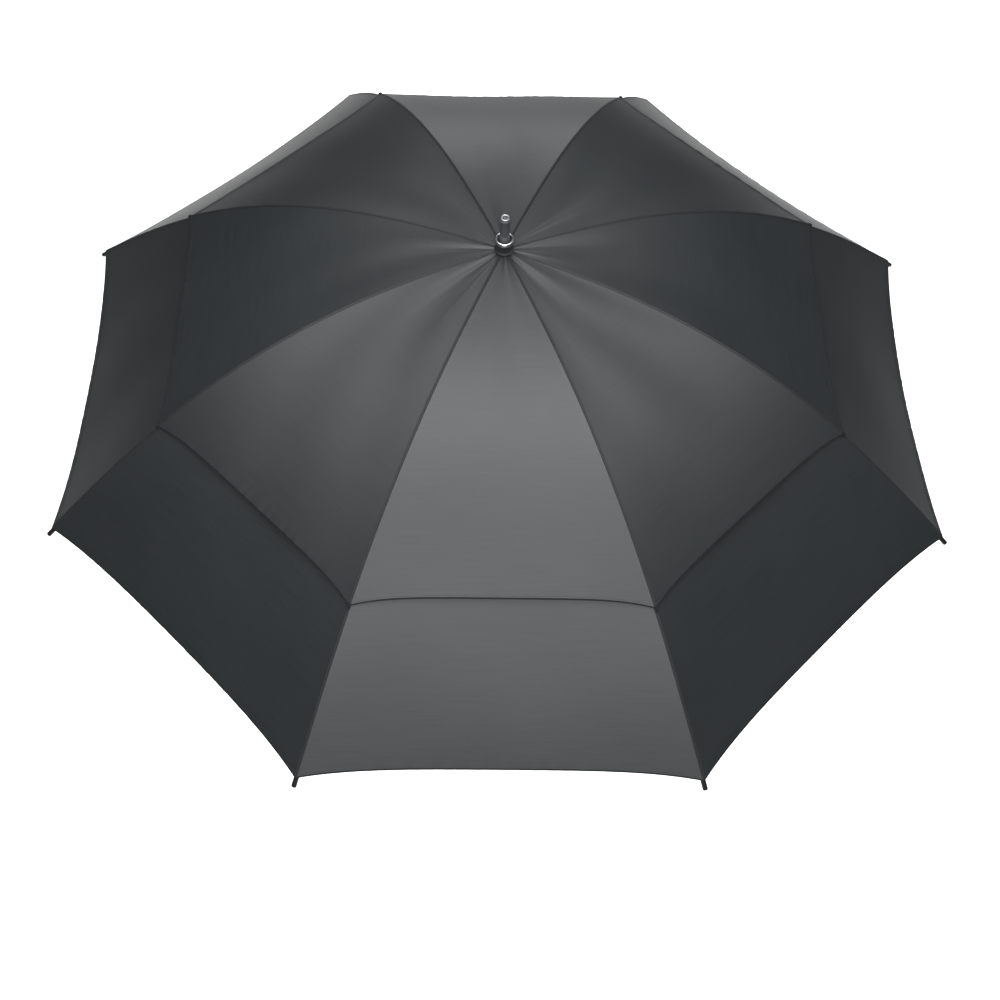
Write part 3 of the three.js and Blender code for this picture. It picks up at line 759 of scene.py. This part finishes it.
def turned(name, profile, material, segments=64, matrix=None, fluting=None):
    """A solid of revolution about Z. profile is (radius, height) pairs up the outside; a radius of 0
    closes an end, and a profile that starts and ends at one point is a ring."""
    points = []
    rows = []
    for radius, height in profile:
        if radius == 0:
            rows.append([len(points)])
            points.append((0, 0, height))
            continue
        rows.append(range(len(points), len(points) + segments))
        for i in range(segments):
            angle = 2 * math.pi * i / segments
            size = radius * (fluting(angle, height) if fluting else 1)
            points.append((size * math.cos(angle), size * math.sin(angle), height))
    if profile[0] == profile[-1]:
        rows[-1] = rows[0]
    faces = []
    for low, high in zip(rows, rows[1:]):
        for i in range(segments):
            a, b = low[i % len(low)], low[(i + 1) % len(low)]
            c, d = high[(i + 1) % len(high)], high[i % len(high)]
            faces.append(tuple(dict.fromkeys((a, b, c, d))))
    used = sorted({i for face in faces for i in face})
    renumber = {old: new for new, old in enumerate(used)}
    faces = [[renumber[i] for i in face] for face in faces]
    piece = new_object(name, [points[i] for i in used], faces, material)
    if matrix is not None:
        piece.data.transform(matrix)
    smooth_by_angle(piece, TURNED_EDGE)
    return piece


def smooth_by_angle(piece, degrees):
    split = piece.modifiers.new("edges", "EDGE_SPLIT")
    split.split_angle = math.radians(degrees)


def rounded(corner, radius, start, end, steps=5):
    """Points of an arc about a corner, from one angle to another, in degrees."""
    made = []
    for i in range(steps + 1):
        angle = math.radians(start + (end - start) * i / steps)
        made.append((corner[0] + radius * math.cos(angle), corner[1] + radius * math.sin(angle)))
    return made


def ferrule_skirt():
    """The collar that clamps the cloth: a plain foot, a groove and a gathered skirt."""
    low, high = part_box("ferrule_collar")
    radius = high.x
    corner = 0.0006
    gathered_from = low.z + COLLAR_FOOT + 0.0012
    gathered_to = high.z - 0.0010

    def gathers(angle, height):
        return 1 + (GATHER_DEPTH * math.cos(COLLAR_GATHERS * angle) if height > gathered_from else 0)

    profile = [(SHAFT_BORE, low.z), (radius - corner, low.z)]
    profile += rounded((radius - corner, low.z + corner), corner, -90, 0, 3)
    profile += [(radius, low.z + COLLAR_FOOT), (radius - 0.0004, low.z + COLLAR_FOOT + 0.0004)]
    profile += [(radius - 0.0014, low.z + COLLAR_FOOT + 0.0010)]
    for t in np.linspace(0, 1, 9):
        waist = 0.0010 + 0.0007 * t + 0.0007 * math.sin(math.pi * t)
        profile.append((radius - waist, gathered_from + (gathered_to - gathered_from) * t))
    profile += [(radius - 0.0024, high.z), (SHAFT_BORE, high.z), (SHAFT_BORE, low.z)]
    piece = turned("ferrule_skirt", profile, COLLAR_SKIN, 180, fluting=gathers)
    finish_part(piece, "shaft", "ferrule_collar")


def ferrule_dish():
    """The chrome cup, with a rolled lip round the ferrule's foot."""
    low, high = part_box("ferrule_cup")
    outside = high.x
    inside = outside - CUP_LIP
    crest = (outside + inside) / 2
    corner = 0.0006
    wall = low.z + 0.0010
    profile = [(inside, low.z), (outside - corner, low.z)]
    profile += rounded((outside - corner, low.z + corner), corner, -90, 0, 4)
    for angle in np.linspace(0, math.pi, 17):
        across = crest + (outside - crest) * math.cos(angle)
        profile.append((across, wall + (high.z - wall) * math.sin(angle)))
    profile.append((inside, low.z))
    finish_part(turned("ferrule_dish", profile, CHROME, 96), "shaft", "ferrule_cup")


def ferrule_tube():
    """The satin tube on its spigot, and the bright ring that ends it."""
    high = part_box("ferrule")[1]
    radius = high.x
    rim = high.z - RIM_HEIGHT
    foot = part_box("ferrule_cup")[0].z - 0.004
    spigot_end = foot - 0.012
    shoulder = 0.0005
    profile = [(0, spigot_end), (SPIGOT_RADIUS, spigot_end), (SPIGOT_RADIUS, foot), (radius, foot)]
    profile.append((radius, rim))
    profile += rounded((radius - shoulder, rim), shoulder, 0, 90, 3)
    profile += [(radius - 0.0012, rim + shoulder), (radius - 0.0012, rim - 0.002), (0, rim - 0.002)]
    finish_part(turned("ferrule_body", profile, SATIN_METAL, 96), "shaft", "ferrule")

    neck = radius - 0.0013
    band = radius - 0.0007
    outer_edge = 0.0004
    inner_edge = 0.0003
    profile = [(RIM_HOLE, rim - 0.0015), (neck, rim - 0.0015), (neck, rim + 0.0006)]
    profile += [(band, rim + 0.0012), (band, high.z - outer_edge)]
    profile += rounded((band - outer_edge, high.z - outer_edge), outer_edge, 0, 90, 4)
    profile += rounded((RIM_HOLE + inner_edge, high.z - inner_edge), inner_edge, 90, 180, 4)
    profile += [(RIM_HOLE, rim - 0.0015)]
    finish_part(turned("ferrule_rim", profile, BRIGHT_RIM, 96), "shaft", "ferrule")


def finish_part(piece, body, node):
    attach(piece, body)
    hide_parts(node)


def grip_foam():
    """The hand grip: a slight swell at both ends and two pairs of grooves."""
    low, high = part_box("handle_grip")
    corner = 0.0008
    top_round = 0.006
    length = high.z - top_round - low.z - corner
    profile = [(SHAFT_BORE, low.z), (high.x - corner, low.z), (high.x, low.z + corner)]
    for i in range(1, GRIP_STEPS):
        t = i / GRIP_STEPS
        groove = sum(math.exp(-(((t - place) / GROOVE_WIDTH) ** 2)) for place in GRIP_GROOVES)
        swell = GRIP_SWELL * math.cos(2 * math.pi * t)
        profile.append((GRIP_RADIUS + swell - GROOVE_DEPTH * groove, low.z + corner + length * t))
    profile += rounded((high.x - 0.0075, high.z - top_round), top_round, 0, 90, 8)
    profile += [(SHAFT_BORE, high.z), (SHAFT_BORE, low.z)]
    finish_part(turned("grip_foam", profile, FOAM, 96), "shaft", "handle_grip")


def grip_end_cap():
    """The plastic cap under the grip, with a shallow dish below and a groove round its top."""
    low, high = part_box("handle_cap")
    dish = low.z + 0.0006
    corner = 0.0022
    profile = [(0, dish), (0.0095, dish), (0.0102, low.z), (0.0140, low.z)]
    profile += rounded((high.x - corner, low.z + corner), corner, -80, 0, 6)
    profile += [(high.x, high.z - 0.0020), (high.x - 0.0005, high.z - 0.0015), (high.x, high.z - 0.0010)]
    profile += [(high.x, high.z), (0, high.z)]
    finish_part(turned("grip_end_cap", profile, PLASTIC, 96), "shaft", "handle_cap")


def rib_tip(rib):
    """A plastic cap over the rib's end: bored, with a flange, a groove and a rounded tip."""
    start = np.array([RIB_LENGTH - TIP_LENGTH])
    out, up, slope = (float(value[0]) for value in rib_line(start))
    flange = TIP_RADIUS + 0.0003
    groove = TIP_RADIUS - 0.0002
    end_round = 0.0016
    profile = [(0, TIP_BORE_DEPTH), (TIP_BORE, TIP_BORE_DEPTH), (TIP_BORE, 0), (TIP_RADIUS, 0)]
    profile += [(flange, 0.0004), (flange, 0.0034), (groove, 0.0040), (groove, 0.0054)]
    profile.append((TIP_RADIUS + 0.0002, 0.0060))
    profile += rounded((TIP_RADIUS - 0.0014, TIP_LENGTH - end_round), end_round, 0, 90, 6)
    profile.append((0, TIP_LENGTH))
    lay = Matrix.Translation((out, 0, up)) @ Matrix.Rotation(math.pi / 2 + slope, 4, "Y")
    matrix = Matrix.Rotation(turn_of(rib), 4, "Z") @ lay
    piece = turned(f"tip_{rib + 1}", profile, PLASTIC, 32, matrix)
    finish_part(piece, f"outer_arm_{rib + 1}", f"rib_tip_{rib + 1}")


def hem_tie(rib):
    """The knot of thread that holds the upper hem down to its rib."""
    at = cloth_points(rib, 1, np.zeros(1), np.array([VENT_STATION - TIE_INSET]), upper_lift)[0]
    slope = float(slope_at(VENT_STATION))
    length, width, height = TIE_SIZE
    points = []
    faces = []
    for ring in range(TIE_RINGS + 1):
        polar = math.pi * ring / TIE_RINGS
        for side in range(TIE_SIDES):
            angle = 2 * math.pi * side / TIE_SIDES
            lump = 1 + TIE_LUMP * math.sin(5 * angle + 2 * polar + rib) * math.sin(polar)
            size = math.sin(polar) * lump
            along = length * size * math.cos(angle)
            points.append((along, width * size * math.sin(angle), height * math.cos(polar)))
    for ring in range(TIE_RINGS):
        for side in range(TIE_SIDES):
            a = ring * TIE_SIDES + side
            b = ring * TIE_SIDES + (side + 1) % TIE_SIDES
            faces.append((a, a + TIE_SIDES, b + TIE_SIDES, b))
    piece = new_object(f"hem_tie_{rib + 1}", points, faces, THREAD_AND_SHADE_LINE)
    raised = Vector(at) + Vector((math.sin(slope), 0, math.cos(slope))) * TIE_RAISE
    lay = Matrix.Translation(raised) @ Matrix.Rotation(slope, 4, "Y")
    piece.data.transform(Matrix.Rotation(turn_of(rib), 4, "Z") @ lay)
    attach(piece, f"outer_arm_{rib + 1}")
    return piece


# What stays from the frame


def finish_frame():
    looks = {
        "shaft": FIBREGLASS, "notch": PLASTIC, "notch_ring": SPRING_STEEL, "runner": PLASTIC,
        "runner_button": PLASTIC, "top_catch": SPRING_STEEL, "bottom_catch": SPRING_STEEL,
    }
    for number in range(1, RIB_COUNT + 1):
        looks[f"inner_rib_{number}"] = FIBREGLASS
        looks[f"outer_rib_{number}"] = FIBREGLASS
        looks[f"stretcher_{number}"] = BLACK_STEEL
    for name, material in looks.items():
        node = frame["nodes"][name]
        node.data.materials.clear()
        node.data.materials.append(material)
        node.data.polygons.foreach_set("use_smooth", [True] * len(node.data.polygons))
        weld = node.modifiers.new("joined", "WELD")
        weld.merge_threshold = WELD_DISTANCE
        bevel = node.modifiers.new("edges_eased", "BEVEL")
        bevel.width = BEVEL_WIDTH
        bevel.segments = 1
        bevel.angle_limit = math.radians(BEVEL_ANGLE)
        smooth_by_angle(node, FRAME_EDGE)


# Studio

TARGET = Vector((0, 0, 0.563))  # the middle of the plane through the tips
CAMERA_AZIMUTH = math.radians(-1.8)
CAMERA_ELEVATION = math.radians(53.1)
CAMERA_ROLL = math.radians(2.1)
CAMERA_DISTANCE = 2.368
CAMERA_LENS = 57.55
CAMERA_SHIFT = (0.001, -0.1095)
FLOOR_Z = -0.9
FLOOR_REACH = 30
AIR_COLOUR = (0.90, 0.96, 1.0, 1)
AIR_STRENGTH = 0.07

# Area lights: name, place, what it points at, size in metres, power in watts. The crown is at NOTCH_Z.
LIGHTS = (
    ("overhead", (0, -0.35, NOTCH_Z + 2.6), (0, -0.35, NOTCH_Z), (2.0, 4.4), 74),
    ("overhead_wide", (0, -0.3, NOTCH_Z + 2.65), (0, -0.3, NOTCH_Z), (5.2, 1.4), 84),
    ("front_panel", (0, -2.3, NOTCH_Z + 1.35), (0, 0, NOTCH_Z), (1.5, 1.7), 37),
    ("back_panel", (0, 4.2, NOTCH_Z + 0.9), (0, 0, NOTCH_Z), (0.9, 2.4), 26),
    ("floor_wash", (0, 0.8, FLOOR_Z + 0.55), (0, 0.8, FLOOR_Z), (4.4, 6.8), 150),
)


def studio_camera():
    a, e = CAMERA_AZIMUTH, CAMERA_ELEVATION
    back = Vector((math.sin(a) * math.cos(e), -math.cos(a) * math.cos(e), math.sin(e)))
    data = bpy.data.cameras.new("camera")
    data.sensor_width = 36
    data.lens = CAMERA_LENS
    data.shift_x, data.shift_y = CAMERA_SHIFT
    camera = bpy.data.objects.new("camera", data)
    bpy.context.scene.collection.objects.link(camera)
    aim = (-back).to_track_quat("-Z", "Y").to_matrix().to_4x4()
    roll = Matrix.Rotation(CAMERA_ROLL, 4, "Z")
    camera.matrix_world = Matrix.Translation(TARGET + back * CAMERA_DISTANCE) @ aim @ roll
    bpy.context.scene.camera = camera


def soft_light(name, place, target, size, power):
    data = bpy.data.lights.new(name, "AREA")
    data.shape = "RECTANGLE"
    data.size, data.size_y = size
    data.energy = power
    light = bpy.data.objects.new(name, data)
    bpy.context.scene.collection.objects.link(light)
    light.visible_camera = False
    way = Vector(target) - Vector(place)
    light.matrix_world = Matrix.Translation(place) @ way.to_track_quat("-Z", "Y").to_matrix().to_4x4()


def studio():
    signs = ((-1, -1), (1, -1), (1, 1), (-1, 1))
    corners = [(x * FLOOR_REACH, y * FLOOR_REACH, FLOOR_Z) for x, y in signs]
    floor = new_object("floor", corners, [(0, 1, 2, 3)], floor_material())
    for light in LIGHTS:
        soft_light(*light)
    world = bpy.data.worlds.new("studio_air")
    world.use_nodes = True
    background = world.node_tree.nodes["Background"]
    background.inputs["Color"].default_value = AIR_COLOUR
    background.inputs["Strength"].default_value = AIR_STRENGTH
    bpy.context.scene.world = world
    bpy.context.scene.view_settings.view_transform = "Standard"


for rib in range(RIB_COUNT):
    crown(rib)
    canopy_leaves(rib)
    rib_tip(rib)
ferrule_skirt()
ferrule_dish()
ferrule_tube()
grip_foam()
grip_end_cap()
finish_frame()
studio_camera()
studio()
